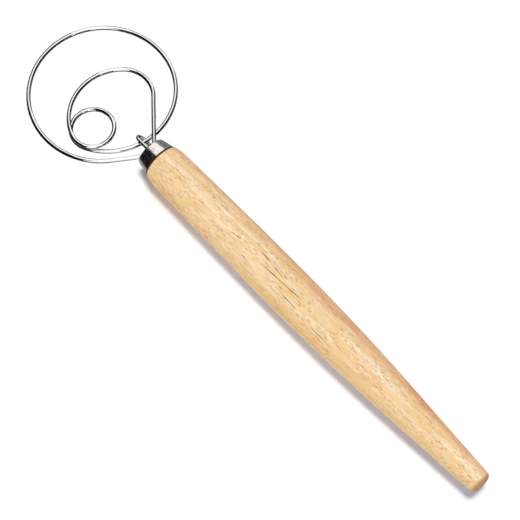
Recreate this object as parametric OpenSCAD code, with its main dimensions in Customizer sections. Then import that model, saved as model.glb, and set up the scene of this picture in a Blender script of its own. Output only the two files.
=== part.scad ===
// Dough whisk lying flat. A turned wooden grip carries a conical ferrule, and one
// continuous stainless wire is bent into an outer loop, a round eye and an inner loop.
// X runs along the grip towards its tail, Z is up, and all sizes are in millimetres.

/* [Grip] */
// Length of the grip from the ferrule to its tail end
grip_length = 249.2; // [200:0.2:310]
// Diameter of the wood where it meets the ferrule
shoulder_d = 21.2; // [20.8:0.1:23]
// Length of the rounded shoulder behind the ferrule
shoulder_run = 6.5; // [4:0.5:16]
// Diameter where the rounded shoulder ends
neck_d = 24; // [23:0.1:26]
// Diameter of the belly, the thickest place
belly_d = 26.2; // [26:0.1:32]
// Distance of the belly from the ferrule
belly_reach = 99; // [60:1:120]
// Length of the straight taper before the tail end
taper_length = 62; // [40:1:80]
// Diameter of the tail end before its edge is rounded
tail_d = 12.8; // [10:0.1:18]
// Radius of the rounded edge at the tail
tail_round = 2.8; // [1:0.1:4]
// Chamfer of the wood's edge at the ferrule
shoulder_chamfer = 0.3; // [0.1:0.05:0.4]

/* [Ferrule] */
// Length of the ferrule along the grip
ferrule_length = 8.2; // [7:0.1:12]
// Outer diameter of the ferrule at the wood
ferrule_back_d = 20.8; // [19:0.1:20.8]
// Outer diameter of the ferrule just behind its front rim
ferrule_front_d = 17.4; // [17:0.1:20]
// Thickness of the sheet
ferrule_wall = 0.9; // [0.5:0.05:1]
// Outer radius of the rim that is turned inwards
rim_round = 1.3; // [1:0.05:1.5]
// Depth of the open cup in front of the grip's tenon
cup_depth = 4.2; // [4:0.1:5]
// Radial clearance between the tenon and the ferrule
tenon_fit = 0.05; // [0.02:0.01:0.1]

/* [Whisk wire] */
// Diameter of the whisk's wire
wire_d = 2.4; // [1.8:0.1:2.9]
// Radius of the outer loop along the wire's centre
loop_r = 41; // [34:0.5:50]
// Gap between the ferrule's rim and the centre line of the outer loop
loop_gap = 3.4; // [2.5:0.1:5]
// Sideways place of the outer loop's centre
loop_y = 4; // [0:0.1:6]
// Radius of the eye along the wire's centre
eye_r = 12; // [9:0.1:14.2]
// Distance of the eye's centre from the ferrule's rim
eye_reach = 31.7; // [29:0.1:34]
// Sideways place of the eye's centre
eye_y = -14.3; // [-17:0.1:-13]
// Place on the eye, as an angle, where the inner loop joins it
eye_join = 248; // [235:1:255]
// Place on the eye, as an angle, where the closing arc leaves it
eye_leave = 298; // [290:1:305]
// Radius of the inner loop's crown
crown_r = 17; // [13:0.5:20]
// Length of the straight leg between the ferrule and the crown
leg_length = 30.6; // [25:0.2:36]
// Angle between the straight leg and the grip
leg_angle = 41; // [35:1:48]
// Sideways place of the leg where it enters the ferrule
leg_y = 2.8; // [2.4:0.1:4]
// Sideways place of the outer loop's end where it enters the ferrule
end_y = -4; // [-4.4:0.1:-3.4]
// Radius of the bends inside the ferrule, along the wire's centre
entry_bend_r = 3.6; // [3:0.1:4]
// Free height between two passes of the wire that cross
pass_gap = 0.45; // [0.42:0.01:0.8]
// Depth of the wire's shanks in the grip
shank_depth = 38; // [20:1:60]
// Radial clearance of every shank in its bore
shank_fit = 0.05; // [0.02:0.01:0.1]

/* [Retaining hook] */
// Diameter of the hook's wire
hook_wire_d = 2; // [1.5:0.1:2.4]
// Distance of the hook's outermost point from the ferrule's rim
hook_reach = 12.2; // [10.5:0.1:14]
// Sideways place of the hook's upper shank
hook_upper_y = -0.5; // [-0.8:0.1:0]
// Sideways place of the hook's lower shank
hook_lower_y = 3.1; // [2.6:0.1:3.6]
// Clearance between the hook's shanks and the wire that it holds
hook_clear = 0.2; // [0.1:0.05:0.4]
// Depth of the hook's shanks in the grip
hook_depth = 26; // [15:1:40]

/* [Hidden] */

wire_sides = 16;
// Largest turns between two rings of the wire, in degrees
tight_step = 9;
wide_step = 5;
entry_step = 18;
// The long swell of the grip is so flat that a few cones follow it to 0.02 mm
swell_steps = 7;
round_steps = 14;
bore_detail = 48;
turned_detail = 96;
tip_relief = 1;

belly_r = belly_d / 2;
tail_r = tail_d / 2;
rim_x = -ferrule_length;
tenon_face_x = rim_x + cup_depth;

// Centre heights of the two layers of wire, measured from the grip's axis
upper_level = (wire_d + pass_gap) / 2;
lower_level = -upper_level;

// A point at an angle and distance, and the angle of a vector
function polar(r, a) = r * [cos(a), sin(a)];
function bearing(v) = atan2(v.y, v.x);
// The first angle at or after a start that points the same way as a target
function onward(start, target) = start + (target - start) - 360 * floor((target - start) / 360);

// Grip profile

// The taper falls by this much per millimetre once it runs straight
taper_start = grip_length - taper_length;
taper_slope = (belly_r - tail_r) / ((taper_start - belly_reach) / 2 + taper_length);
taper_angle = atan(taper_slope);
front_fall = belly_r - neck_d / 2;
shoulder_fall = (neck_d - shoulder_d) / 2;
shoulder_arc_r = (pow(shoulder_run, 2) + pow(shoulder_fall, 2)) / (2 * shoulder_fall);

// How far a circle has fallen at a distance from its crest
function arc_fall(r, d) = r - sqrt(r * r - d * d);

// Fall of the shoulder arc, then a long flat curve up to the belly
function front_r(x) =
    belly_r
    - front_fall * pow((belly_reach - x) / (belly_reach - shoulder_run), 2)
    - (x < shoulder_run ? arc_fall(shoulder_arc_r, shoulder_run - x) : 0);

// A long curve away from the belly that runs into a straight taper
function rear_r(x) =
    x < taper_start
        ? belly_r - taper_slope * pow(x - belly_reach, 2) / (2 * (taper_start - belly_reach))
        : tail_r + taper_slope * (grip_length - x);

function grip_r(x) = x < belly_reach ? front_r(x) : rear_r(x);

// Centre radius of the tail's rounded edge, which meets the taper without a corner
tail_centre_r = tail_r + taper_slope * tail_round * (1 - sin(taper_angle)) - tail_round * cos(taper_angle);

// Ferrule profile

ferrule_back_r = ferrule_back_d / 2;
ferrule_front_r = ferrule_front_d / 2;
cone_slope = (ferrule_back_r - ferrule_front_r) / ferrule_length;
cone_angle = atan(cone_slope);
wall_across = ferrule_wall / cos(cone_angle);
function cone_r(x) = ferrule_back_r + cone_slope * x;
// Centre of the turned-in rim, which is tangent to the cone and to the front plane
rim_centre_x = rim_x + rim_round;
rim_centre_r = cone_r(rim_centre_x) - rim_round / cos(cone_angle);

// Plan of the whisk wire, in the plane of the head

leg_foot = [rim_x, leg_y];
leg_top = leg_foot + polar(leg_length, 180 - leg_angle);
crown_centre = leg_top + polar(crown_r, 270 - leg_angle);
eye_centre = [rim_x - eye_reach, eye_y];
loop_centre = [rim_x - loop_gap - loop_r, loop_y];

// The inner loop's long side touches both the crown and the eye
join_dir = polar(1, eye_join);
crown_to_join = eye_centre + eye_r * join_dir - crown_centre;
side_r = (crown_to_join * crown_to_join - crown_r * crown_r) / (2 * (crown_to_join * join_dir - crown_r));
side_centre = eye_centre + (eye_r - side_r) * join_dir;

// The closing arc touches both the eye and the outer loop
leave_dir = polar(1, eye_leave);
loop_to_leave = eye_centre + eye_r * leave_dir - loop_centre;
closing_r = (loop_r * loop_r - loop_to_leave * loop_to_leave) / (2 * (loop_r - loop_to_leave * leave_dir));
closing_centre = eye_centre + (eye_r - closing_r) * leave_dir;

// The outer loop's end runs straight along a tangent to the ferrule
end_foot = [rim_x, end_y];
end_away = end_foot - loop_centre;
end_touch = bearing(end_away) - acos(loop_r / norm(end_away));
end_start = loop_centre + polar(loop_r, end_touch);
end_turn = end_touch + 90;

// Angles on each arc, always increasing along the wire
crown_from = 90 - leg_angle;
crown_to = onward(crown_from, bearing(crown_centre - side_centre));
join_at = onward(crown_to, eye_join);
// The upper pass stays up until it has cleared the closing arc below it
clear_after_leave = 50;
drop_from = onward(join_at, eye_leave) + clear_after_leave;
// The wire is down again before it slips under the inner loop
down_before_join = 62;
drop_to = join_at + 360 - down_before_join;
leave_at = onward(join_at, eye_leave) + 360;
closing_to = onward(leave_at, bearing(closing_centre - loop_centre));
loop_to = onward(closing_to, end_touch);

// Both shanks run along the grip after their bends in the ferrule's cup
leg_shank = leg_foot + entry_bend_r * [sin(leg_angle), cos(leg_angle) - 1];
end_shank = end_foot + entry_bend_r * [sin(end_turn), 1 - cos(end_turn)];
shank_end_x = tenon_face_x + shank_depth;

// One smooth step from 0 to 1
function ease(t) = t * t * (3 - 2 * t);

// Points of an arc with their heights, and with the wire's heading as the fourth number
function arc_run(centre, r, from, to, z_from, z_to, step) =
    let (count = ceil((to - from) / step))
    [for (i = [0 : count - 1])
        let (t = i / count, a = from + t * (to - from), p = centre + polar(r, a))
        [p.x, p.y, z_from + (z_to - z_from) * ease(t), a + 90]];

// Points of a bend to the right, which starts with a heading and ends with another
function right_bend(start, r, from, to) =
    let (count = ceil((from - to) / entry_step), centre = start + polar(r, from - 90))
    [for (i = [0 : count])
        let (h = from + (to - from) * i / count, p = centre + polar(r, h + 90))
        [p.x, p.y, 0, h]];

function at_level(points, z) = [for (p = points) [p.x, p.y, z, p[3]]];

leg_entry = at_level(right_bend(leg_shank, entry_bend_r, 180, 180 - leg_angle), upper_level);
end_entry = at_level(right_bend(end_foot, entry_bend_r, end_turn, 0), lower_level);

wire_path = concat(
    [[shank_end_x, leg_shank.y, upper_level, 180]],
    leg_entry,
    arc_run(crown_centre, crown_r, crown_from, crown_to, upper_level, upper_level, tight_step),
    arc_run(side_centre, side_r, crown_to, join_at, upper_level, upper_level, wide_step),
    arc_run(eye_centre, eye_r, join_at, drop_from, upper_level, upper_level, tight_step),
    arc_run(eye_centre, eye_r, drop_from, drop_to, upper_level, lower_level, tight_step),
    arc_run(eye_centre, eye_r, drop_to, leave_at, lower_level, lower_level, tight_step),
    arc_run(closing_centre, closing_r, leave_at, closing_to, lower_level, lower_level, wide_step),
    arc_run(loop_centre, loop_r, closing_to, loop_to, lower_level, lower_level, wide_step),
    [[end_start.x, end_start.y, lower_level, end_turn]],
    end_entry,
    [[shank_end_x, end_shank.y, lower_level, 0]]
);

// Hook: two shanks that lie above and below the closing arc, joined by a half turn

hook_offset = (wire_d + hook_wire_d) / 2 + hook_clear;
hook_upper = [hook_upper_y, lower_level + hook_offset];
hook_lower = [hook_lower_y, lower_level - hook_offset];
hook_mid = (hook_upper + hook_lower) / 2;
hook_bend_r = norm(hook_upper - hook_lower) / 2;
hook_tilt = bearing(hook_upper - hook_lower);
hook_bend_x = rim_x - hook_reach + hook_wire_d / 2 + hook_bend_r;
hook_end_x = tenon_face_x + hook_depth;

// Outline of the whole whisk, which sets the origin under its middle

plan_low = [min([for (p = wire_path) p.x]) - wire_d / 2, min([for (p = wire_path) p.y]) - wire_d / 2];
plan_high = [grip_length, max([for (p = wire_path) p.y]) + wire_d / 2];
plan_mid = (plan_low + plan_high) / 2;

// Least free distance of the wire to itself, measured on points along its centre
function between(a, b, pitch) =
    let (gap = norm([b.x - a.x, b.y - a.y, b.z - a.z]), count = ceil(gap / pitch))
    [for (i = [0 : count - 1]) [a.x, a.y, a.z] + ([b.x, b.y, b.z] - [a.x, a.y, a.z]) * i / count];
measure_pitch = 1.5;
dense_path = [for (i = [1 : len(wire_path) - 2])
    for (p = between(wire_path[i], wire_path[i + 1], measure_pitch)) p];
measure_skip = 12;
self_gap = min([for (i = [0 : len(dense_path) - measure_skip - 1])
    min([for (j = [i + measure_skip : len(dense_path) - 1]) norm(dense_path[i] - dense_path[j])])]) - wire_d;
echo(least_gap_of_the_wire_to_itself = self_gap);

// Moves the grip's axis from the joint's own frame to its place over the floor
module placed() {
    translate([-plan_mid.x, -plan_mid.y, belly_r]) children();
}

// Turns a profile of [distance along the grip, radius] points round the grip's axis
module turned(points) {
    rotate([0, 90, 0])
        rotate_extrude($fn = turned_detail)
            polygon([for (p = points) [p.y, p.x]]);
}

// A round bar or bore along the grip, from one place to another, at a point of the cross-section
module bar(from_x, to_x, centre, d) {
    translate([from_x, centre.x, centre.y])
        rotate([0, 90, 0])
            cylinder(h = to_x - from_x, d = d, $fn = bore_detail);
}

module grip_blank() {
    tenon_back_r = cone_r(0) - wall_across - tenon_fit;
    tenon_face_r = cone_r(tenon_face_x) - wall_across - tenon_fit;
    shoulder_points = [for (i = [1 : round_steps]) let (x = shoulder_run * i / round_steps)
        [x, grip_r(x)]];
    belly_points = [for (i = [1 : swell_steps])
        let (x = shoulder_run + (belly_reach - shoulder_run) * i / swell_steps)
        [x, grip_r(x)]];
    rear_points = [for (i = [1 : swell_steps])
        let (x = belly_reach + (taper_start - belly_reach) * i / swell_steps)
        [x, grip_r(x)]];
    tail_points = [for (i = [0 : round_steps])
        let (a = taper_angle + (90 - taper_angle) * i / round_steps)
        [grip_length - tail_round + tail_round * sin(a), tail_centre_r + tail_round * cos(a)]];
    turned(concat(
        [[tenon_face_x, 0], [tenon_face_x, tenon_face_r], [0, tenon_back_r]],
        [[0, shoulder_d / 2 - shoulder_chamfer], [shoulder_chamfer, grip_r(shoulder_chamfer)]],
        shoulder_points,
        belly_points,
        rear_points,
        tail_points,
        [[grip_length, 0]]
    ));
}

module handle() {
    color("burlywood")
        placed()
            difference() {
                grip_blank();
                bar(tenon_face_x - tip_relief, shank_end_x + tip_relief,
                    [leg_shank.y, upper_level], wire_d + 2 * shank_fit);
                bar(tenon_face_x - tip_relief, shank_end_x + tip_relief,
                    [end_shank.y, lower_level], wire_d + 2 * shank_fit);
                bar(tenon_face_x - tip_relief, hook_end_x + tip_relief,
                    hook_upper, hook_wire_d + 2 * shank_fit);
                bar(tenon_face_x - tip_relief, hook_end_x + tip_relief,
                    hook_lower, hook_wire_d + 2 * shank_fit);
            }
}

module ferrule() {
    inner_round = rim_round - ferrule_wall;
    rim_outside = [for (i = [0 : round_steps])
        let (a = 90 + cone_angle + (90 - cone_angle) * i / round_steps)
        [rim_centre_x + rim_round * cos(a), rim_centre_r + rim_round * sin(a)]];
    rim_inside = [for (i = [0 : round_steps])
        let (a = 180 - (90 - cone_angle) * i / round_steps)
        [rim_centre_x + inner_round * cos(a), rim_centre_r + inner_round * sin(a)]];
    color("silver")
        placed()
            turned(concat(
                [[0, ferrule_back_r]],
                rim_outside,
                rim_inside,
                [[0, ferrule_back_r - wall_across]]
            ));
}

// A round tube through points that hold a place, a height and a heading
module wire_tube(path, r, sides) {
    rings = len(path);
    points = [for (p = path) for (k = [0 : sides - 1])
        let (a = 360 * k / sides)
        [p.x - sin(p[3]) * r * cos(a), p.y + cos(p[3]) * r * cos(a), p.z + r * sin(a)]];
    walls = [for (i = [0 : rings - 2]) for (k = [0 : sides - 1])
        let (n = (k + 1) % sides, near = i * sides, far = (i + 1) * sides)
        each [[near + k, near + n, far + n], [near + k, far + n, far + k]]];
    start_cap = [for (k = [1 : sides - 2]) [0, k + 1, k]];
    last = (rings - 1) * sides;
    end_cap = [for (k = [1 : sides - 2]) [last, last + k, last + k + 1]];
    polyhedron(points, concat(walls, start_cap, end_cap), convexity = 10);
}

module whisk_wire() {
    color("lightgray")
        placed()
            wire_tube(wire_path, wire_d / 2, wire_sides);
}

module retaining_hook() {
    color("gainsboro")
        placed()
            union() {
                bar(hook_bend_x, hook_end_x, hook_upper, hook_wire_d);
                bar(hook_bend_x, hook_end_x, hook_lower, hook_wire_d);
                translate([hook_bend_x, hook_mid.x, hook_mid.y])
                    rotate([hook_tilt - 90, 0, 0])
                        rotate([90, 0, 0])
                            rotate([0, 0, 90])
                                rotate_extrude(angle = 180, $fn = turned_detail)
                                    translate([hook_bend_r, 0])
                                        circle(d = hook_wire_d, $fn = bore_detail);
            }
}

handle();
ferrule();
whisk_wire();
retaining_hook();
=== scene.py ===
"""Dough whisk on a white table: a turned wooden grip, a steel ferrule, one bent wire and its hook.

All sizes are in metres. The whisk's own places are measured from the joint, which is where
the ferrule meets the wood on the grip's axis, with X towards the tail and Z up.
"""
import bpy
import numpy as np
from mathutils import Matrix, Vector


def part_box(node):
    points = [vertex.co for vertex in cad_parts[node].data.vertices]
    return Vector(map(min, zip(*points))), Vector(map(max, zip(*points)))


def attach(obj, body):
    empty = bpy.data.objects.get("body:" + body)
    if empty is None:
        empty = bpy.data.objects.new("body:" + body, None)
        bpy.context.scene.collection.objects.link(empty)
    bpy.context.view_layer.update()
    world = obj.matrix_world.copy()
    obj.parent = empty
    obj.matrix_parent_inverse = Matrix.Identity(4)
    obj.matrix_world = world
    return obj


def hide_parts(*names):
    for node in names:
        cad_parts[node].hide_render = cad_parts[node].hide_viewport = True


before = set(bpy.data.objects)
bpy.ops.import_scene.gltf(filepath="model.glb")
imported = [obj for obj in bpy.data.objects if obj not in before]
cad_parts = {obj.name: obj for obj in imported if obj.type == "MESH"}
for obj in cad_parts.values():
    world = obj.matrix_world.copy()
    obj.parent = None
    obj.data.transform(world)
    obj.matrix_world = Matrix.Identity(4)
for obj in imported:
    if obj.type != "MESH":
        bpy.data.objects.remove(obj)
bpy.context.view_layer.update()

# Places that the frame gives

handle_low, handle_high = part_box("handle")
ferrule_low, ferrule_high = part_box("ferrule")
JOINT = np.array([
    ferrule_high.x,
    (ferrule_low.y + ferrule_high.y) / 2,
    (ferrule_low.z + ferrule_high.z) / 2,
])
GRIP_LENGTH = handle_high.x - ferrule_high.x
BELLY_R = (handle_high.z - handle_low.z) / 2
TENON_LENGTH = ferrule_high.x - handle_low.x
FERRULE_LENGTH = ferrule_high.x - ferrule_low.x
FERRULE_BACK_R = (ferrule_high.z - ferrule_low.z) / 2
RIM_X = -FERRULE_LENGTH
TENON_FACE_X = -TENON_LENGTH

# Grip

SHOULDER_R = 0.0106
SHOULDER_RUN = 0.0065
SHOULDER_CHAMFER = 0.0003
NECK_R = 0.0120
BELLY_REACH = 0.099
TAPER_LENGTH = 0.062
TAIL_R = 0.0064
TAIL_ROUND = 0.0028
TENON_FIT = 0.00005
GRIP_ROWS = 360
GRIP_SIDES = 192
TAIL_ROWS = 16

# Ferrule

FERRULE_FRONT_R = 0.0087
FERRULE_WALL = 0.0009
RIM_ROUND = 0.0013
FERRULE_SIDES = 256
OUTER_ROUND_ROWS = 20
INNER_ROUND_ROWS = 12
WALL_ROWS = 12

# Whisk wire

WIRE_R = 0.0012
PASS_GAP = 0.00045
LOOP_R = 0.041
LOOP_GAP = 0.0034
LOOP_Y = 0.004
EYE_R = 0.0120
EYE_REACH = 0.0317
EYE_Y = -0.0143
EYE_JOIN = 248
EYE_LEAVE = 298
CROWN_R = 0.017
LEG_LENGTH = 0.0306
LEG_ANGLE = 41
LEG_Y = 0.0028
END_Y = -0.004
ENTRY_BEND_R = 0.0036
SHANK_DEPTH = 0.038
DROP_AFTER_LEAVING = 50
DROP_BEFORE_JOIN = 62
WIRE_SIDES = 32
RING_PITCH = 0.0006

# Retaining hook

HOOK_WIRE_R = 0.001
HOOK_REACH = 0.0122
HOOK_UPPER_Y = -0.0005
HOOK_LOWER_Y = 0.0031
HOOK_CLEAR = 0.0002
HOOK_DEPTH = 0.026
HOOK_SIDES = 32
HOOK_BEND_ROWS = 64

UPPER_LEVEL = WIRE_R + PASS_GAP / 2
LOWER_LEVEL = -UPPER_LEVEL


# Meshes from whole arrays


def new_piece(name, vertices, faces, uv=None, crease=40):
    """A smooth-shaded mesh object whose edges stay sharp past the crease angle in degrees."""
    mesh = bpy.data.meshes.new(name)
    mesh.from_pydata(vertices.tolist(), [], faces)
    mesh.polygons.foreach_set("use_smooth", [True] * len(mesh.polygons))
    mesh.set_sharp_from_angle(angle=np.radians(crease))
    if uv is not None:
        layer = mesh.uv_layers.new(name="surface")
        layer.data.foreach_set("uv", uv.astype(np.float32).ravel())
    mesh.update()
    piece = bpy.data.objects.new(name, mesh)
    bpy.context.scene.collection.objects.link(piece)
    return piece


def lathed(name, profile, sides, closed=False):
    """Turns a profile of (x, radius) rows round the grip's axis: y = r cos a and z = r sin a.

    A row of radius nought is one pole. A closed profile joins its last row to its first.
    """
    angles = np.arange(sides) * 2 * np.pi / sides
    rows, vertices, count = [], [], 0
    for x, r in profile:
        if r == 0:
            vertices.append([[x, 0, 0]])
            rows.append(np.full(sides, count))
            count += 1
        else:
            ring = np.column_stack([np.full(sides, x), r * np.cos(angles), r * np.sin(angles)])
            vertices.append(ring)
            rows.append(count + np.arange(sides))
            count += sides
    near = np.array(rows if closed else rows[:-1])
    far = np.roll(rows, -1, axis=0) if closed else np.array(rows[1:])
    quads = np.stack([near, far, np.roll(far, -1, axis=1), np.roll(near, -1, axis=1)], axis=-1)
    faces = [tuple(dict.fromkeys(quad)) for quad in quads.reshape(-1, 4).tolist()]
    return new_piece(name, np.vstack(vertices) + JOINT, faces)


def tube(name, centres, across, radius, sides):
    """A round tube: each ring is c + r cos(a) s + r sin(a) u, square to the path.

    s is the side direction, across x tangent, and u completes the frame, so the section
    never twists. The map's u is the way round and its v the way along, both in metres.
    """
    tangent = np.gradient(centres, axis=0)
    tangent /= np.linalg.norm(tangent, axis=1, keepdims=True)
    side = np.cross(across, tangent)
    side /= np.linalg.norm(side, axis=1, keepdims=True)
    up = np.cross(tangent, side)
    angles = np.arange(sides) * 2 * np.pi / sides
    rings = (
        centres[:, None]
        + radius * np.cos(angles)[None, :, None] * side[:, None]
        + radius * np.sin(angles)[None, :, None] * up[:, None]
    )
    count = len(centres)
    index = np.arange(count * sides).reshape(count, sides)
    near, far = index[:-1], index[1:]
    quads = np.stack([near, np.roll(near, -1, axis=1), np.roll(far, -1, axis=1), far], axis=-1)
    start_pole, end_pole = count * sides, count * sides + 1
    first, last = index[0], index[-1]
    start_cap = np.stack([np.roll(first, -1), first, np.full(sides, start_pole)], axis=-1)
    end_cap = np.stack([last, np.roll(last, -1), np.full(sides, end_pole)], axis=-1)
    vertices = np.vstack([rings.reshape(-1, 3), centres[:1], centres[-1:]]) + JOINT
    faces = quads.reshape(-1, 4).tolist() + start_cap.tolist() + end_cap.tolist()

    length = np.concatenate([[0], np.cumsum(np.linalg.norm(np.diff(centres, axis=0), axis=1))])
    around = np.arange(sides + 1) * 2 * np.pi * radius / sides
    u_near, u_far = np.broadcast_arrays(around[None, :-1], around[None, 1:])
    v_near, v_far = length[:-1, None], length[1:, None]
    grid = np.ones((count - 1, sides))
    corners = [(u_near, v_near), (u_far, v_near), (u_far, v_far), (u_near, v_far)]
    wall_uv = np.stack([np.stack([u * grid, v * grid], axis=-1) for u, v in corners], axis=2)
    cap_uv = np.zeros((2 * sides * 3, 2))
    return new_piece(name, vertices, faces, np.vstack([wall_uv.reshape(-1, 2), cap_uv]))


# Plan of the wire


def polar(radius, degrees):
    """A plan point at a distance and an angle."""
    return radius * np.array([np.cos(np.radians(degrees)), np.sin(np.radians(degrees))])


def bearing(vector):
    """The angle of a plan vector, in degrees."""
    return np.degrees(np.arctan2(vector[1], vector[0]))


def onward(start, target):
    """The first angle at or after the start that points the same way as the target."""
    return start + (target - start) % 360


def arc(centre, radius, start, end, z_start, z_end=None):
    """Points of a level arc, or of one that eases from a height to another by t t (3 - 2 t)."""
    count = max(3, int(np.ceil(np.radians(abs(end - start)) * abs(radius) / RING_PITCH)))
    t = np.linspace(0, 1, count + 1)[:-1]
    angles = np.radians(start + (end - start) * t)
    z_end = z_start if z_end is None else z_end
    z = z_start + (z_end - z_start) * t * t * (3 - 2 * t)
    return np.column_stack([centre[0] + radius * np.cos(angles), centre[1] + radius * np.sin(angles), z])


def straight(start, end):
    """Evenly spaced points from a start up to an end, which is left to the next stretch."""
    start, end = np.asarray(start, float), np.asarray(end, float)
    count = max(2, int(np.ceil(np.linalg.norm(end - start) / RING_PITCH)))
    return start + (end - start) * np.linspace(0, 1, count + 1)[:-1, None]


def right_bend(start, radius, heading, new_heading, z):
    """A bend to the right, from one heading to another, round a centre on the right hand."""
    centre = start + polar(radius, heading - 90)
    return arc(centre, radius, heading + 90, new_heading + 90, z)


def whisk_wire_path():
    """Centre line: leg shank, leg, crown, long side, eye, closing arc, outer loop, end shank.

    Each arc is tangent to the next. The long side and the closing arc have the radius at
    which they touch the eye at a given angle and also touch the crown or the outer loop.
    """
    leg_foot = np.array([RIM_X, LEG_Y])
    leg_top = leg_foot + polar(LEG_LENGTH, 180 - LEG_ANGLE)
    crown_centre = leg_top + polar(CROWN_R, 270 - LEG_ANGLE)
    eye_centre = np.array([RIM_X - EYE_REACH, EYE_Y])
    loop_centre = np.array([RIM_X - LOOP_GAP - LOOP_R, LOOP_Y])

    join_way = polar(1, EYE_JOIN)
    to_join = eye_centre + EYE_R * join_way - crown_centre
    side_r = (to_join @ to_join - CROWN_R ** 2) / (2 * (to_join @ join_way - CROWN_R))
    side_centre = eye_centre + (EYE_R - side_r) * join_way

    leave_way = polar(1, EYE_LEAVE)
    to_leave = eye_centre + EYE_R * leave_way - loop_centre
    closing_r = (LOOP_R ** 2 - to_leave @ to_leave) / (2 * (LOOP_R - to_leave @ leave_way))
    closing_centre = eye_centre + (EYE_R - closing_r) * leave_way

    end_foot = np.array([RIM_X, END_Y])
    end_away = end_foot - loop_centre
    end_touch = bearing(end_away) - np.degrees(np.arccos(LOOP_R / np.linalg.norm(end_away)))
    end_start = loop_centre + polar(LOOP_R, end_touch)
    end_turn = end_touch + 90

    crown_from = 90 - LEG_ANGLE
    crown_to = onward(crown_from, bearing(crown_centre - side_centre))
    join_at = onward(crown_to, EYE_JOIN)
    drop_from = onward(join_at, EYE_LEAVE) + DROP_AFTER_LEAVING
    drop_to = join_at + 360 - DROP_BEFORE_JOIN
    leave_at = onward(join_at, EYE_LEAVE) + 360
    closing_to = onward(leave_at, bearing(closing_centre - loop_centre))
    loop_to = onward(closing_to, end_touch)

    turn = np.radians(LEG_ANGLE)
    leg_shank = leg_foot + ENTRY_BEND_R * np.array([np.sin(turn), np.cos(turn) - 1])
    turn = np.radians(end_turn)
    end_shank = end_foot + ENTRY_BEND_R * np.array([np.sin(turn), 1 - np.cos(turn)])
    shank_end_x = TENON_FACE_X + SHANK_DEPTH

    up, low = UPPER_LEVEL, LOWER_LEVEL
    return np.vstack([
        straight([shank_end_x, leg_shank[1], up], [*leg_shank, up]),
        right_bend(leg_shank, ENTRY_BEND_R, 180, 180 - LEG_ANGLE, up),
        straight([*leg_foot, up], [*leg_top, up]),
        arc(crown_centre, CROWN_R, crown_from, crown_to, up),
        arc(side_centre, side_r, crown_to, join_at, up),
        arc(eye_centre, EYE_R, join_at, drop_from, up),
        arc(eye_centre, EYE_R, drop_from, drop_to, up, low),
        arc(eye_centre, EYE_R, drop_to, leave_at, low),
        arc(closing_centre, closing_r, leave_at, closing_to, low),
        arc(loop_centre, LOOP_R, closing_to, loop_to, low),
        straight([*end_start, low], [*end_foot, low]),
        right_bend(end_foot, ENTRY_BEND_R, end_turn, 0, low),
        straight([*end_shank, low], [shank_end_x, end_shank[1], low]),
    ])


def retaining_hook_path():
    """Centre line of the hook, and the way across its plane: a shank, a half turn, a shank."""
    offset = WIRE_R + HOOK_WIRE_R + HOOK_CLEAR
    upper = np.array([HOOK_UPPER_Y, LOWER_LEVEL + offset])
    lower = np.array([HOOK_LOWER_Y, LOWER_LEVEL - offset])
    middle = (upper + lower) / 2
    bend_r = np.linalg.norm(upper - lower) / 2
    rise = (upper - lower) / (2 * bend_r)
    bend_x = RIM_X - HOOK_REACH + HOOK_WIRE_R + bend_r
    end_x = TENON_FACE_X + HOOK_DEPTH
    turn = np.linspace(0, np.pi, HOOK_BEND_ROWS)
    bend = np.column_stack([
        bend_x - bend_r * np.sin(turn),
        middle[0] + bend_r * np.cos(turn) * rise[0],
        middle[1] + bend_r * np.cos(turn) * rise[1],
    ])
    path = np.vstack([
        straight([end_x, *upper], [bend_x, *upper]),
        bend,
        straight([end_x, *lower], [bend_x, *lower])[::-1],
    ])
    across = np.cross([1, 0, 0], [0, rise[0], rise[1]])
    return path, across


# Profiles


def rounded(centre_x, centre_r, radius, turn):
    """Profile points on a round edge: x = centre + r cos a and radius = centre + r sin a."""
    return np.column_stack([centre_x + radius * np.cos(turn), centre_r + radius * np.sin(turn)])


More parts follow.
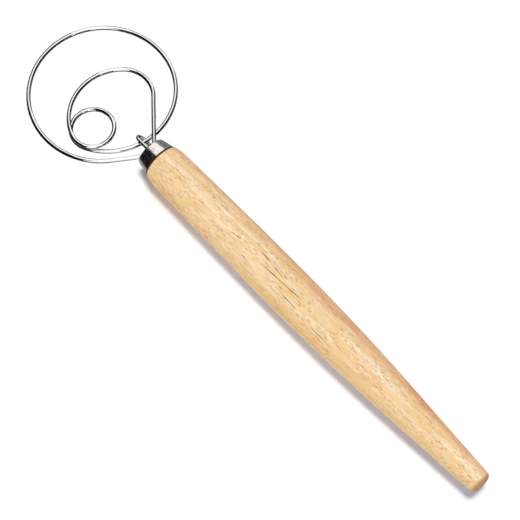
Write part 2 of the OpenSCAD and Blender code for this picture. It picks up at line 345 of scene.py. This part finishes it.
def grip_profile():
    """Radius along the grip: a shoulder arc, a long flat swell, a long fall and a straight taper.

    The swell falls with the square of the distance from the belly, and the fall behind it
    runs into the taper without a corner. The tail's edge is a quarter round.
    """
    taper_start = GRIP_LENGTH - TAPER_LENGTH
    slope = (BELLY_R - TAIL_R) / ((taper_start - BELLY_REACH) / 2 + TAPER_LENGTH)
    taper_angle = np.arctan(slope)
    shoulder_fall = NECK_R - SHOULDER_R
    shoulder_arc_r = (SHOULDER_RUN ** 2 + shoulder_fall ** 2) / (2 * shoulder_fall)

    def radius(x):
        before = np.clip(SHOULDER_RUN - x, 0, None)
        swell = (BELLY_R - NECK_R) * ((BELLY_REACH - x) / (BELLY_REACH - SHOULDER_RUN)) ** 2
        shoulder = shoulder_arc_r - np.sqrt(shoulder_arc_r ** 2 - before ** 2)
        fall = slope * (x - BELLY_REACH) ** 2 / (2 * (taper_start - BELLY_REACH))
        front = BELLY_R - swell - shoulder
        rear = np.where(x < taper_start, BELLY_R - fall, TAIL_R + slope * (GRIP_LENGTH - x))
        return np.where(x < BELLY_REACH, front, rear)

    cone = (FERRULE_BACK_R - FERRULE_FRONT_R) / FERRULE_LENGTH
    bore_r = FERRULE_BACK_R - FERRULE_WALL / np.cos(np.arctan(cone)) - TENON_FIT
    face_r = bore_r + cone * TENON_FACE_X
    x = np.linspace(SHOULDER_CHAMFER, GRIP_LENGTH - TAIL_ROUND * (1 - np.sin(taper_angle)), GRIP_ROWS)
    tail_turn = np.linspace(taper_angle, np.pi / 2, TAIL_ROWS)[1:]
    tail_centre = (
        TAIL_R + slope * TAIL_ROUND * (1 - np.sin(taper_angle)) - TAIL_ROUND * np.cos(taper_angle)
    )
    tail = np.column_stack([
        GRIP_LENGTH - TAIL_ROUND + TAIL_ROUND * np.sin(tail_turn),
        tail_centre + TAIL_ROUND * np.cos(tail_turn),
    ])
    return np.vstack([
        [[TENON_FACE_X, 0], [TENON_FACE_X, face_r * 0.5], [TENON_FACE_X, face_r], [0, bore_r]],
        [[0, SHOULDER_R - SHOULDER_CHAMFER]],
        np.column_stack([x, radius(x)]),
        tail,
        [[GRIP_LENGTH, tail_centre * 0.5], [GRIP_LENGTH, 0]],
    ])


def ferrule_profile():
    """A closed loop: the cone outside, the rim rolled inwards by a quarter round, and the wall inside."""
    cone = (FERRULE_BACK_R - FERRULE_FRONT_R) / FERRULE_LENGTH
    lean = np.arctan(cone)
    rim_x = RIM_X + RIM_ROUND
    rim_r = FERRULE_BACK_R + cone * rim_x - RIM_ROUND / np.cos(lean)
    outer_turn = np.linspace(np.pi / 2 + lean, np.pi, OUTER_ROUND_ROWS)
    inner_turn = np.linspace(np.pi, np.pi / 2 + lean, INNER_ROUND_ROWS)
    outer = rounded(rim_x, rim_r, RIM_ROUND, outer_turn)
    inner = rounded(rim_x, rim_r, RIM_ROUND - FERRULE_WALL, inner_turn)
    t = np.linspace(0, 1, WALL_ROWS)[:-1, None]
    back = np.array([0, FERRULE_BACK_R])
    back_inside = np.array([0, FERRULE_BACK_R - FERRULE_WALL / np.cos(lean)])
    return np.vstack([
        back + (outer[0] - back) * t,
        outer,
        inner[:-1],
        inner[-1] + (back_inside - inner[-1]) * t,
        back_inside,
    ])


# Shader trees


class Shade:
    """One output of a node, on which + - and * add Math nodes."""

    def __init__(self, finish, socket):
        self.finish = finish
        self.socket = socket

    def math(self, operation, first, second):
        return self.finish.node("ShaderNodeMath", {"operation": operation}, {0: first, 1: second})

    def __add__(self, other):
        return self.math("ADD", self, other)

    def __radd__(self, other):
        return self.math("ADD", other, self)

    def __sub__(self, other):
        return self.math("SUBTRACT", self, other)

    def __rsub__(self, other):
        return self.math("SUBTRACT", other, self)

    def __mul__(self, other):
        return self.math("MULTIPLY", self, other)


class Finish:
    """A material under construction, with one method that adds any node."""

    def __init__(self, name, surface):
        self.material = bpy.data.materials.new(name)
        self.material.use_nodes = True
        self.tree = self.material.node_tree
        self.surface = self.tree.nodes["Principled BSDF"]
        for socket, value in surface.items():
            self.surface.inputs[socket].default_value = value

    def node(self, kind, settings, inputs, output=0):
        """Adds a node: its settings first, then the values or links of its sockets."""
        made = self.tree.nodes.new(kind)
        for key, value in settings.items():
            setattr(made, key, value)
        for key, value in inputs.items():
            self.feed(made.inputs[key], value)
        return Shade(self, made.outputs[output])

    def feed(self, socket, value):
        """Links a shade to a socket, or sets the socket's own value."""
        if isinstance(value, Shade):
            self.tree.links.new(value.socket, socket)
        else:
            socket.default_value = value

    def stretched(self, cell, source="Object"):
        """Coordinates from the joint in which one unit is a cell of the given size in metres."""
        centre = JOINT if source == "Object" else (0, 0, 0)
        place = self.node("ShaderNodeTexCoord", {}, {}, source)
        shifted = self.node("ShaderNodeVectorMath", {"operation": "SUBTRACT"}, {0: place, 1: centre})
        return self.node("ShaderNodeMapping", {}, {"Vector": shifted, "Scale": [1 / c for c in cell]})

    def from_joint(self, axis):
        """The distance from the joint along one axis, in metres."""
        return self.node("ShaderNodeSeparateXYZ", {}, {0: self.stretched((1, 1, 1))}, output=axis)

    def noise(self, cell, detail=2.0, roughness=0.5, source="Object", offset=0.0):
        """Even noise from 0 to 1 whose cells have the given size in metres."""
        vector = self.stretched(cell, source)
        moved = self.node("ShaderNodeVectorMath", {"operation": "ADD"}, {0: vector, 1: (offset,) * 3})
        return self.node(
            "ShaderNodeTexNoise", {},
            {"Vector": moved, "Scale": 1.0, "Detail": detail, "Roughness": roughness},
        )

    def window(self, value, low, high):
        """0 below the low value and 1 above the high one, with a smooth step between."""
        return self.node(
            "ShaderNodeMapRange", {"interpolation_type": "SMOOTHSTEP"},
            {"Value": value, "From Min": low, "From Max": high},
        )

    def blend(self, amount, first, second):
        """A colour between two colours."""
        return self.node(
            "ShaderNodeMix", {"data_type": "RGBA"}, {0: amount, 6: first, 7: second}, output=2
        )

    def bump(self, height, distance):
        """Feeds a height from 0 to 1, over a real distance, to the surface's normal."""
        normal = self.node("ShaderNodeBump", {}, {"Height": height, "Distance": distance, "Strength": 1.0})
        self.feed(self.surface.inputs["Normal"], normal)


def tint(red, green, blue):
    """A linear colour from the red, green and blue that a screen shows, 0 to 255."""
    shown = np.array([red, green, blue]) / 255
    linear = np.where(shown <= 0.04045, shown / 12.92, ((shown + 0.055) / 1.055) ** 2.4)
    return (*linear.tolist(), 1.0)


# Long dark grain lines: start and end along the grip, then their angles from the top, in degrees
GRAIN_LINES = (
    (0.0600, 0.0690, -15, -10),
    (0.0800, 0.0890, 4, 1),
    (0.0905, 0.1000, -2, -4),
    (0.0820, 0.1190, -18, -10),
    (0.0735, 0.0775, -35, -36),
    (0.1035, 0.1180, -32, -36),
    (0.1255, 0.1480, -41, -43),
)
GRAIN_LINE_HALF_WIDTH = 0.00020
GRAIN_LINE_SOFT_SHARE = 0.3


def grain_line(wood, along, angle, line):
    """1 on one dark line that starts and ends softly, and leans from its first angle to its last."""
    start, end, first, last = line
    lean = np.radians(last - first) / (end - start)
    offset = angle - (along - start) * lean - np.radians(first)
    across = wood.node("ShaderNodeMath", {"operation": "ABSOLUTE"}, {0: offset})
    half_width = GRAIN_LINE_HALF_WIDTH / BELLY_R
    soft = (end - start) * GRAIN_LINE_SOFT_SHARE
    inside = wood.window(along, start, start + soft) * (1 - wood.window(along, end - soft, end))
    return inside * (1 - wood.window(across, half_width * 0.3, half_width * 1.4))


def turned_wood():
    """Pale turned wood: soft long streaks, short pores and a few long dark lines, with a painted gold near
    flank, a far flank darkened to peach by painted shade and a warmer wood tone, a painted shade line at
    the joint and a browner tail end.
    """
    wood = Finish("turned_wood", {"Specular IOR Level": 0.12})

    cream = tint(251, 234, 205)
    honey = tint(244, 210, 161)
    gold = tint(240, 201, 138)
    blush = tint(249, 216, 185)
    peach = tint(233, 186, 142)
    ember = tint(222, 158, 114)
    pore_brown = tint(150, 70, 26)
    line_brown = tint(64, 30, 8)
    # Painted shade for the line at the joint
    joint_gap_shade = tint(62, 34, 20)
    end_brown = tint(176, 122, 72)

    along = wood.from_joint(0)
    side = wood.from_joint(1)
    height = wood.from_joint(2)
    angle = wood.node("ShaderNodeMath", {"operation": "ARCTAN2"}, {0: side, 1: height})

    broad = wood.noise((0.075, 0.0042, 0.0042), detail=3.0, roughness=0.55)
    streak = wood.noise((0.034, 0.0011, 0.0011), detail=3.0, roughness=0.6, offset=7.0)
    patch = wood.noise((0.030, 0.009, 0.009), detail=2.0, offset=3.0)
    cloud = wood.noise((0.0130, 0.0045, 0.0045), detail=2.0, offset=29.0)
    mottle = wood.noise((0.0050, 0.0016, 0.0016), detail=3.0, roughness=0.7, offset=17.0)
    colour = wood.blend(wood.window(broad, 0.38, 0.60), honey, cream)
    colour = wood.blend(wood.window(patch, 0.46, 0.66) * 0.6, colour, blush)
    colour = wood.blend(wood.window(cloud, 0.48, 0.66) * 0.55, colour, gold)
    colour = wood.blend(wood.window(mottle, 0.44, 0.62) * 0.70, colour, gold)
    colour = wood.blend(wood.window(streak, 0.50, 0.68) * 0.50, colour, peach)

    # Painted light: the near flank is tinted gold by its angle from the top, standing in for how the light
    # falls on that side.
    near_flank_painted_light = wood.window((broad - 0.5) * 0.9 - angle, 0.45, 1.00)
    colour = wood.blend(near_flank_painted_light * 0.55, colour, gold)
    # Painted shade, partly a warmer wood tone: the far flank turns peach and ember by its angle from the
    # top, and reaches further round away from the ferrule.
    flank_from = 0.50 - wood.window(along, 0.03, 0.12) * 0.34
    far_flank_shade_and_tone = wood.window(angle + (broad - 0.5) * 0.9 + (streak - 0.5) * 0.5 - flank_from, 0.0, 0.45)
    warmth = wood.window(patch, 0.42, 0.62) * wood.window(along, 0.04, 0.16)
    colour = wood.blend(far_flank_shade_and_tone * 0.72, colour, wood.blend(warmth, peach, ember))

    pore = wood.noise((0.0028, 0.00030, 0.00030), detail=1.0, offset=11.0)
    cluster = wood.noise((0.016, 0.0035, 0.0035), detail=2.0, offset=5.0)
    pores = wood.window(pore, 0.55, 0.64) * wood.window(cluster, 0.38, 0.56)
    colour = wood.blend(pores * 0.55, colour, pore_brown)

    split = wood.noise((0.020, 0.00042, 0.00042), detail=0.0, offset=23.0)
    lines = wood.window(split, 0.80, 0.85) * 0.6
    for line in GRAIN_LINES:
        lines = wood.node("ShaderNodeMath", {"operation": "MAXIMUM"}, {
            0: lines, 1: grain_line(wood, along, angle, line) * wood.window(streak, 0.30, 0.50),
        })
    colour = wood.blend(lines, colour, line_brown)
    # The tail's end is browner: darker end grain, and painted shade on its rounded rim as well.
    end_grain_and_shade = wood.window(along, GRIP_LENGTH - 0.0026, GRIP_LENGTH - 0.0006)
    colour = wood.blend(end_grain_and_shade * 0.7, colour, end_brown)
    # Painted shade: a thin dark line on the wood right at the joint, where the gap to the ferrule falls in
    # shade.
    colour = wood.blend(1 - wood.window(along, 0.0010, 0.0017), colour, joint_gap_shade)

    wood.feed(wood.surface.inputs["Base Color"], colour)
    wood.feed(wood.surface.inputs["Roughness"], 0.46 + streak * 0.16)
    wood.bump(1 - pores * 0.5 + streak * 0.25, 0.00002)
    return wood.material


def drawn_steel():
    """Bright drawn wire: faint lines along the wire and softer patches."""
    steel = Finish("drawn_steel", {"Metallic": 1.0})
    line = steel.noise((0.00022, 0.03, 1.0), detail=2.0, source="UV")
    cloud = steel.noise((0.004, 0.004, 0.004), detail=2.0)
    colour = steel.blend(line, tint(250, 250, 251), tint(255, 255, 254))
    steel.feed(steel.surface.inputs["Base Color"], colour)
    steel.feed(steel.surface.inputs["Roughness"], 0.02 + cloud * 0.03 + line * 0.03)
    steel.bump(line, 0.000002)
    return steel.material


def spun_steel():
    """Polished sheet of the ferrule: brown lengthwise streaks, faint rings and handling haze."""
    steel = Finish("spun_steel", {"Metallic": 1.0})
    line = steel.noise((0.009, 0.00026, 0.00026), detail=2.0)
    ring = steel.noise((0.00015, 0.2, 0.2), detail=1.0)
    cloud = steel.noise((0.003, 0.003, 0.003), detail=3.0)
    scratch = steel.window(line, 0.46, 0.62)
    colour = steel.blend(cloud, tint(246, 240, 236), tint(255, 253, 252))
    colour = steel.blend(scratch * 0.15, colour, tint(222, 204, 194))
    steel.feed(steel.surface.inputs["Base Color"], colour)
    steel.feed(steel.surface.inputs["Roughness"], 0.07 + cloud * 0.05 + scratch * 0.28)
    steel.bump(line * 0.8 + ring * 0.2, 0.000008)
    return steel.material


# Pieces


def add_pieces():
    """The four pieces of the whisk, each in the place of its own node."""
    steel = drawn_steel()
    hook_path, across_hook = retaining_hook_path()
    pieces = {
        "handle": (lathed("turned_grip", grip_profile(), GRIP_SIDES), turned_wood(), "wood_grip"),
        "ferrule": (
            lathed("steel_ferrule", ferrule_profile(), FERRULE_SIDES, closed=True),
            spun_steel(), "ferrule_steel",
        ),
        "whisk_wire": (
            tube("bent_whisk_wire", whisk_wire_path(), np.array([0, 0, 1]), WIRE_R, WIRE_SIDES),
            steel, "wire_steel",
        ),
        "retaining_hook": (
            tube("bent_retaining_hook", hook_path, across_hook, HOOK_WIRE_R, HOOK_SIDES),
            steel, "hook_steel",
        ),
    }
    for node, (piece, finish, slot) in pieces.items():
        piece.data.materials.append(finish)
        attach(piece, "root")
        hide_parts(node)


# Camera

CAMERA_AZIMUTH = np.radians(47.367)
CAMERA_ELEVATION = np.radians(67.965)
CAMERA_DISTANCE = 1.2
CAMERA_LENS = 155.03
AIM_ALONG_GRIP = 0.0798
AIM_ACROSS_GRIP = 0.00048

away_from_camera = np.array([
    -np.sin(CAMERA_AZIMUTH) * np.cos(CAMERA_ELEVATION),
    np.cos(CAMERA_AZIMUTH) * np.cos(CAMERA_ELEVATION),
    -np.sin(CAMERA_ELEVATION),
])
picture_right = np.array([np.cos(CAMERA_AZIMUTH), np.sin(CAMERA_AZIMUTH), 0.0])
picture_far = np.array([-np.sin(CAMERA_AZIMUTH), np.cos(CAMERA_AZIMUTH), 0.0])


def add_camera():
    """The photograph's view: a long lens from above, on the head's side of the grip."""
    lens = bpy.data.cameras.new("camera")
    lens.lens = CAMERA_LENS
    lens.clip_start = 0.05
    lens.clip_end = 50
    camera = bpy.data.objects.new("camera", lens)
    bpy.context.scene.collection.objects.link(camera)
    aim = JOINT + np.array([AIM_ALONG_GRIP, AIM_ACROSS_GRIP, 0])
    camera.location = aim - away_from_camera * CAMERA_DISTANCE
    camera.rotation_euler = Vector(away_from_camera).to_track_quat("-Z", "Y").to_euler()
    bpy.context.scene.camera = camera


# Studio

FLOOR_REACH = 8.0
HEAD_LIFT = (0.03, 0.05, 0.08, 1.0)
GRIP_LIFT = (0.02, 0.09, 0.19, 1.0)
GRIP_LIFT_FROM = 0.005
GRIP_LIFT_TO = 0.060

FILL_LIGHT = 0.21
LAMP_DISTANCE = 2.0
OVERHEAD_HEIGHT = 85
OVERHEAD_STRENGTH = 2.48
OVERHEAD_ANGLE = 17
NEAR_HEIGHT = 9
NEAR_STRENGTH = 11.5
NEAR_SIZE = 1.0

# Cards and sheets that draw the steel's dark edges

CARD_DISTANCE = 1.0
CARD_COLUMNS = 25
CARD_ROWS = 9
UNDER_REACH = 1.2
UNDER_RISE = 0.0003
LANE_NEAR = 0.026
LANE_FAR = 0.014
LANE_GAP = 0.001
CORNER_REACH = 0.015
CORNER_INSET = 0.011
BLACK = 0.008
FAR_GREY = 0.20
RIM_GREY = 0.30
RIM_SHEET_REACH = 0.012
FAR_SHEET_GAP = 0.012
FAR_SHEET_REACH = 0.110
FAR_SHEET_BEFORE_RIM = 0.070
FAR_SHEET_BEHIND_RIM = 0.040


def add_floor():
    """A wide white floor that keeps shadows, and that a camera or a mirror sees as clear white.

    The faint glow is bluer beside the grip, where it cools the wood's warm light in the shadow.
    """
    corners = np.array([[-1, -1, 0], [1, -1, 0], [1, 1, 0], [-1, 1, 0]]) * FLOOR_REACH
    floor = new_piece("floor", corners, [(0, 1, 2, 3)])
    paper = Finish("white_paper", {
        "Base Color": tint(255, 250, 246), "Roughness": 0.9, "Specular IOR Level": 0.1,
    })
    rays = paper.tree.nodes.new("ShaderNodeLightPath")
    seen = Shade(paper, rays.outputs["Is Camera Ray"]) + Shade(paper, rays.outputs["Is Glossy Ray"])
    beside_grip = paper.window(paper.from_joint(0), GRIP_LIFT_FROM, GRIP_LIFT_TO)
    colour = paper.blend(beside_grip, HEAD_LIFT, GRIP_LIFT)
    lift = paper.node("ShaderNodeEmission", {}, {"Color": colour, "Strength": seen})
    both = paper.node("ShaderNodeAddShader", {}, {0: Shade(paper, paper.surface.outputs[0]), 1: lift})
    paper.feed(paper.tree.nodes["Material Output"].inputs["Surface"], both)
    floor.data.materials.append(paper.material)


def add_world():
    """White for the camera and for reflections, and a softer fill for everything else."""
    world = bpy.data.worlds.new("white_room")
    bpy.context.scene.world = world
    world.use_nodes = True
    tree = world.node_tree
    rays = tree.nodes.new("ShaderNodeLightPath")
    seen = tree.nodes.new("ShaderNodeMath")
    seen.operation = "MAXIMUM"
    tree.links.new(rays.outputs["Is Camera Ray"], seen.inputs[0])
    tree.links.new(rays.outputs["Is Glossy Ray"], seen.inputs[1])
    strength = tree.nodes.new("ShaderNodeMapRange")
    strength.inputs["To Min"].default_value = FILL_LIGHT
    tree.links.new(seen.outputs[0], strength.inputs["Value"])
    background = tree.nodes["Background"]
    background.inputs["Color"].default_value = (1, 1, 1, 1)
    tree.links.new(strength.outputs[0], background.inputs["Strength"])


def add_card(name, direction, half_width, low, high, tone):
    """A dark card that only reflections see: part of a ball, by bearing and height in degrees."""
    centre = bearing(direction)
    turn = np.radians(np.linspace(centre - half_width, centre + half_width, CARD_COLUMNS))
    rise = np.radians(np.linspace(low, high, CARD_ROWS))
    grid = np.stack([
        np.cos(rise)[:, None] * np.cos(turn)[None],
        np.cos(rise)[:, None] * np.sin(turn)[None],
        np.sin(rise)[:, None] * np.ones_like(turn)[None],
    ], axis=-1) * CARD_DISTANCE
    index = np.arange(grid.shape[0] * grid.shape[1]).reshape(grid.shape[:2])
    quads = np.stack([index[:-1, :-1], index[:-1, 1:], index[1:, 1:], index[1:, :-1]], axis=-1)
    hide_card(new_piece(name, grid.reshape(-1, 3), quads.reshape(-1, 4).tolist()), tone)


def hide_card(card, tone):
    """Makes a sheet glow with a flat grey tone that nothing but a reflection sees."""
    felt = Finish("card_felt", {
        "Base Color": (0, 0, 0, 1), "Roughness": 1.0, "Specular IOR Level": 0.0,
        "Emission Color": (1, 1, 1, 1), "Emission Strength": tone,
    })
    card.data.materials.append(felt.material)
    card.visible_camera = False
    card.visible_diffuse = False
    card.visible_transmission = False
    card.visible_shadow = False


def add_lamp(name, direction, elevation, kind, strength, size):
    """A soft lamp from a plan direction and an elevation in degrees, which reflections don't see.

    A sun's size is the angle that it fills, in degrees, and an area lamp's is its side in metres.
    """
    rise = np.radians(elevation)
    plan = np.asarray(direction)[:2] / np.linalg.norm(direction[:2])
    way = np.array([*(plan * np.cos(rise)), np.sin(rise)])
    light = bpy.data.lights.new(name, kind)
    light.energy = strength
    if kind == "SUN":
        light.angle = np.radians(size)
    else:
        light.size = size
    lamp = bpy.data.objects.new(name, light)
    bpy.context.scene.collection.objects.link(lamp)
    lamp.location = way * LAMP_DISTANCE
    lamp.rotation_euler = Vector(way).to_track_quat("Z", "Y").to_euler()
    lamp.visible_glossy = False


def clear_floor_under_head():
    """Lets the overhead lamp shine past the thin wires, because the photograph's floor is clear there."""
    blockers = bpy.data.collections.new("lamp_blockers")
    for name in ("turned_grip", "steel_ferrule"):
        blockers.objects.link(bpy.data.objects[name])
    bpy.data.objects["overhead_lamp"].light_linking.blocker_collection = blockers


def add_under_cards():
    """Black sheets just over the floor, which only reflections see, with a bare lane for the grip.

    Grey sheets lie over them beside the ferrule, which give it a grey edge and a grey far side.
    """
    lane_low, lane_high = JOINT[1] - LANE_NEAR, JOINT[1] + LANE_FAR
    lane_start = JOINT[0] + RIM_X - LANE_GAP
    corner_start = lane_start - CORNER_REACH
    corner_low = JOINT[1] - CORNER_INSET
    sheets = {
        "left_sheet": ((-UNDER_REACH, -UNDER_REACH), (UNDER_REACH, lane_low)),
        "right_sheet": ((-UNDER_REACH, lane_high), (UNDER_REACH, UNDER_REACH)),
        "head_sheet": ((-UNDER_REACH, corner_low), (lane_start, lane_high)),
        "corner_sheet": ((-UNDER_REACH, lane_low), (corner_start, corner_low)),
        "grey_sheet": (
            (lane_start - FAR_SHEET_BEFORE_RIM, lane_high + FAR_SHEET_GAP),
            (lane_start + FAR_SHEET_BEHIND_RIM, lane_high + FAR_SHEET_REACH),
        ),
        "rim_sheet": ((corner_start, lane_low), (lane_start + RIM_SHEET_REACH, corner_low)),
    }
    tones = {"grey_sheet": FAR_GREY, "rim_sheet": RIM_GREY}
    for name, ((x0, y0), (x1, y1)) in sheets.items():
        plan = np.array([[x0, y0], [x1, y0], [x1, y1], [x0, y1]])
        rise = UNDER_RISE * (2 if name in tones else 1)
        corners = np.column_stack([plan, np.full(4, rise)])
        hide_card(new_piece(name, corners, [(0, 1, 2, 3)]), tones.get(name, BLACK))


def add_studio():
    """Floor, room, two soft lamps and the dark cards whose edges draw the steel."""
    add_floor()
    add_world()
    up_right = picture_right + picture_far
    add_lamp("overhead_lamp", up_right, OVERHEAD_HEIGHT, "SUN", OVERHEAD_STRENGTH, OVERHEAD_ANGLE)
    add_lamp("near_lamp", -up_right, NEAR_HEIGHT, "AREA", NEAR_STRENGTH, NEAR_SIZE)
    clear_floor_under_head()
    add_card("left_card", -picture_right - 0.21 * picture_far, 49, 0, 70, BLACK)
    add_card("low_card", -0.61 * picture_right + 0.79 * picture_far, 16, 0, 36, BLACK)
    add_card("near_card", 0.33 * picture_right - 0.95 * picture_far, 11, 0, 45, BLACK)
    add_card("right_card", picture_right - 0.03 * picture_far, 54, 0, 70, BLACK)
    add_card("high_card", picture_far - picture_right, 14, 50, 68, BLACK)
    add_card("far_card", 0.14 * picture_right + picture_far, 16, 0, 20, FAR_GREY)
    add_under_cards()


bpy.context.scene.view_settings.view_transform = "Standard"
add_pieces()
add_camera()
add_studio()
